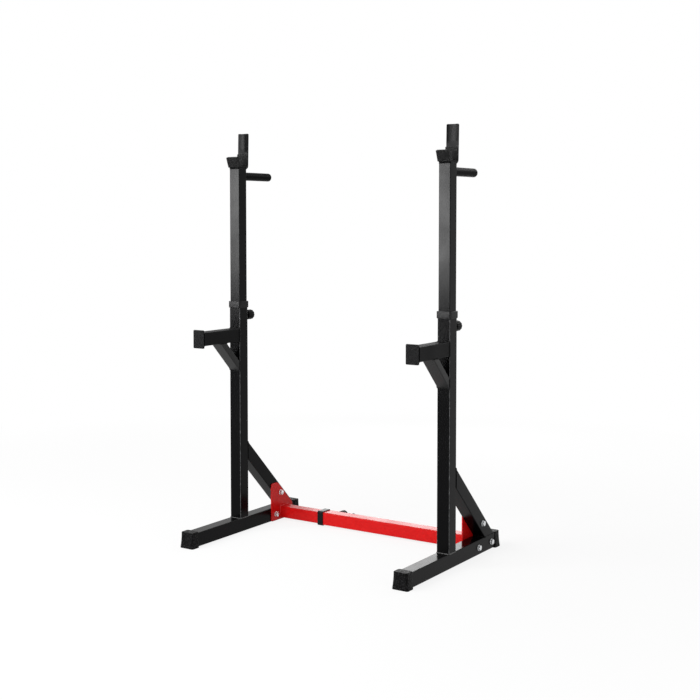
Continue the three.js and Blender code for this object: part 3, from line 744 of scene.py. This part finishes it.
def coil(start, radius, climb, rings):
    """Points and faces of a round wire that winds along Y, rising by climb from ring to ring."""
    step = 2 * math.pi / SPRING_STEPS
    points = []
    for k in range(rings):
        outward = X_AXIS * math.cos(step * k) + Z_AXIS * math.sin(step * k)
        turning = Z_AXIS * math.cos(step * k) - X_AXIS * math.sin(step * k)
        along = (turning * (step * radius) + Y_AXIS * climb).normalized()
        across = along.cross(outward)
        centre = start + Y_AXIS * (climb * k) + outward * radius
        for i in range(SPRING_SIDES):
            angle = 2 * math.pi * i / SPRING_SIDES
            side = outward * math.cos(angle) + across * math.sin(angle)
            points.append(centre + side * (SPRING_WIRE / 2))
    return points, skin(rings, SPRING_SIDES)


def make_pin_spring(prefix, body, finishes):
    """A coil spring round a lock pin, held at its rear end."""
    low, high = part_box(prefix + "_pin_spring")
    length = high.y - low.y
    radius = (high.z - low.z) / 2 - SPRING_WIRE / 2
    start = Vector(((low.x + high.x) / 2, low.y + SPRING_WIRE / 2, (low.z + high.z) / 2))
    count = SPRING_TURNS * SPRING_STEPS
    points, faces = coil(start, radius, (length - SPRING_WIRE) / count, count + 1)
    spring = add_piece(prefix + "_coil_spring", body, points, faces, finishes["spring_steel"],
                       [prefix + "_pin_spring"])
    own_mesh(spring)


def thread_rows(start, end):
    """Heights along a screw, THREAD_STEPS to each turn of its thread."""
    count = round((end - start) / (THREAD_PITCH / THREAD_STEPS))
    return [start + (end - start) * i / count for i in range(count + 1)]


def threaded(radius, height, angle):
    """The thread's groove in the rows of full radius. Smaller rows stay round."""
    if radius < SCREW_RADIUS:
        return radius
    phase = (height / THREAD_PITCH + angle / (2 * math.pi)) % 1
    return radius - THREAD_DEPTH * abs(2 * phase - 1)


def make_clamp_knob(finishes):
    """A lobed knob with a collar behind it, on a threaded screw."""
    low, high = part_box("crossbar_clamp_knob")
    radius = (high.z - low.z) / 2
    place = Vector(((low.x + high.x) / 2, high.y - CLAMP_KNOB_LENGTH, (low.z + high.z) / 2))
    rows = [(TURNED_END, -CLAMP_COLLAR_DEPTH), *CLAMP_COLLAR]
    rows += knob_side(radius, CLAMP_KNOB_LENGTH)
    rows += [(radius / 2, CLAMP_KNOB_LENGTH), (TURNED_END, CLAMP_KNOB_LENGTH)]

    def lobed(r, _height, angle):
        share = max(0, (r - radius / 2) / (radius / 2))
        return r - share * CLAMP_LOBE_DEPTH * (1 - abs(math.cos(angle * CLAMP_LOBES / 2)))

    points, faces = lathe(rows, KNOB_SIDES, lobed, place, Y_AXIS, Z_AXIS)
    add_piece("crossbar_clamp_grip", "clamp_screw", points, faces, finishes["knob_plastic"],
              ["crossbar_clamp_knob"])
    tip = low.y - place.y
    rows = [(TURNED_END, tip)] + [(SCREW_RADIUS, h) for h in thread_rows(tip, 0)]
    rows += [(TURNED_END, 0)]
    points, faces = lathe(rows, THREAD_SIDES, threaded, place, Y_AXIS, Z_AXIS)
    add_piece("crossbar_clamp_thread", "clamp_screw", points, faces, finishes["zinc"])


def hexagon_rows(height):
    """Rows of a washer and of the hexagon on it, whose corners are chamfered."""
    chamfer = HEX_CORNER - HEX_SIZE / 2 * CHAMFER_SHARE
    top = WASHER_THICKNESS + height
    rows = [(TURNED_END, 0), (WASHER_RADIUS, 0),
            (WASHER_RADIUS, WASHER_THICKNESS * WASHER_EDGE_SHARE),
            (WASHER_RADIUS - WASHER_CHAMFER, WASHER_THICKNESS), (HEX_CORNER, WASHER_THICKNESS)]
    for i in range(CHAMFER_STEPS + 1):
        cut = chamfer * i / CHAMFER_STEPS
        rows.append((HEX_CORNER - cut, top - (chamfer - cut) * CHAMFER_SLOPE))
    rows.append((TURNED_END, top))
    return rows


def hexagonal(radius, height, angle):
    """A washer's rows stay round. Those above it are hexagons, cut to the row's own radius."""
    if height < WASHER_THICKNESS or radius > HEX_CORNER:
        return radius
    sector = (angle + math.pi / 6) % (math.pi / 3) - math.pi / 6
    return min(radius, HEX_SIZE / 2 / math.cos(sector))


def add_hexagon(node, body, seat, axis, height, finishes):
    """A washer and a chamfered bolt head or nut, from its seat outward, in place of a plain one."""
    points, faces = lathe(hexagon_rows(height), HEX_SIDES, hexagonal, seat, axis, Z_AXIS)
    add_piece(f"{node}_detail", body, points, faces, finishes["zinc"], [node])


def add_bolt_end(name, body, seat, axis, finishes):
    """The threaded end of a bolt, which stands out of its nut."""
    top = WASHER_THICKNESS + NUT_HEIGHT
    tip = top + BOLT_END
    heights = thread_rows(top - THREAD_PITCH, tip - BOLT_END_CHAMFER)
    rows = [(TURNED_END, heights[0])] + [(SCREW_RADIUS, h) for h in heights]
    rows += [(SCREW_RADIUS - BOLT_END_DEPTH, tip), (TURNED_END, tip)]
    points, faces = lathe(rows, THREAD_SIDES, threaded, seat, axis, Z_AXIS)
    add_piece(name, body, points, faces, finishes["zinc"])


def make_fasteners(side, outward, finishes):
    """Three bolts with their heads on the outer face, and the nuts on their ends."""
    body = side + "_stand"
    axis = X_AXIS * outward
    for name in ("base_front", "base_rear", "brace"):
        bolt = f"{side}_{name}_bolt"
        low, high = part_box(bolt)
        outer = high.x if outward > 0 else low.x
        seat = Vector((outer, (low.y + high.y) / 2, (low.z + high.z) / 2))
        seat -= axis * (HEAD_HEIGHT + WASHER_THICKNESS)
        add_hexagon(bolt, body, seat, axis, HEAD_HEIGHT, finishes)
        nut = f"{side}_{name}_nut"
        low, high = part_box(nut)
        inner = high.x if outward > 0 else low.x
        seat = Vector((inner, (low.y + high.y) / 2, (low.z + high.z) / 2))
        add_hexagon(nut, body, seat, -axis, NUT_HEIGHT, finishes)
        add_bolt_end(f"{side}_{name}_thread", body, seat, -axis, finishes)


main()
